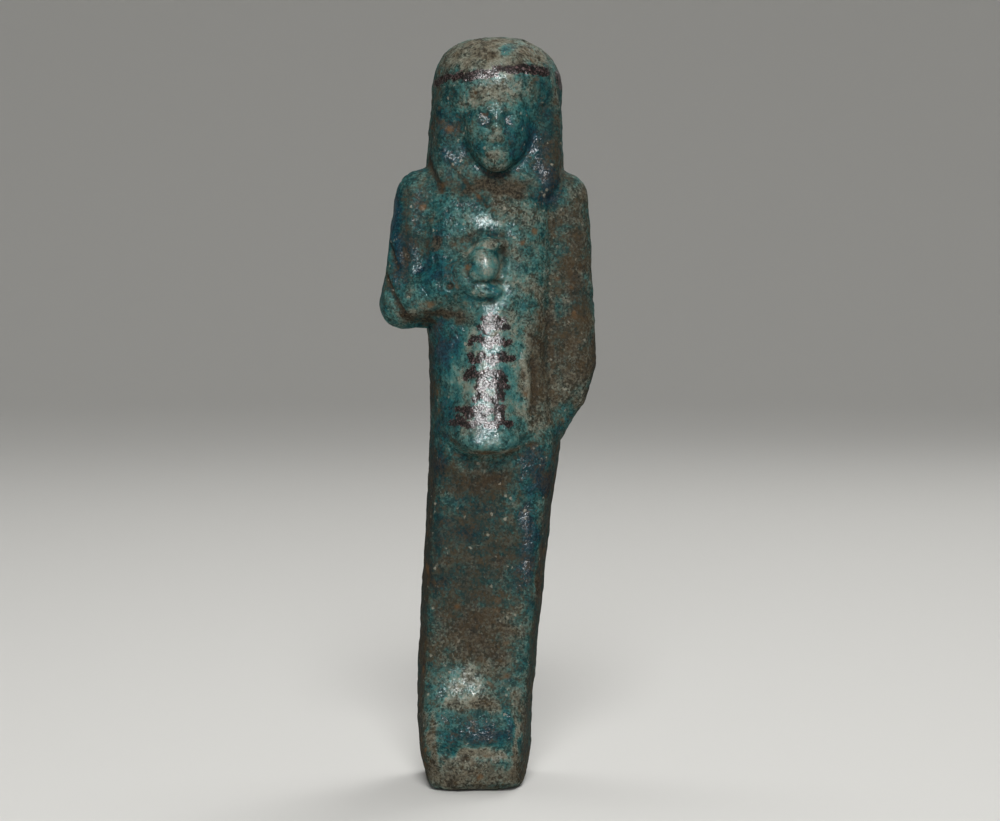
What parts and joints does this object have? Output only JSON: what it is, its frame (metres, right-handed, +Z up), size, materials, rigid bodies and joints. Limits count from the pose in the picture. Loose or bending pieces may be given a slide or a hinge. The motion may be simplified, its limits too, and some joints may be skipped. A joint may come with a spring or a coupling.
{
  "type": "ushabti figurine",
  "caption": "Standing ancient Egyptian overseer ushabti in worn blue-green faience: long wig, fist at the chest, hanging arm, kilt with a front apron, flat underside.",
  "frame": {"origin": "middle of the flat underside that the figure stands on", "axes": "+Z up the figure, -Y the way it faces, +X towards its own left arm"},
  "size_m": [0.0321, 0.0208, 0.11],
  "materials": {
    "faience": "satin"
  },
  "bodies": {
    "root": {"ushabti": "faience"}
  },
  "joints": []
}
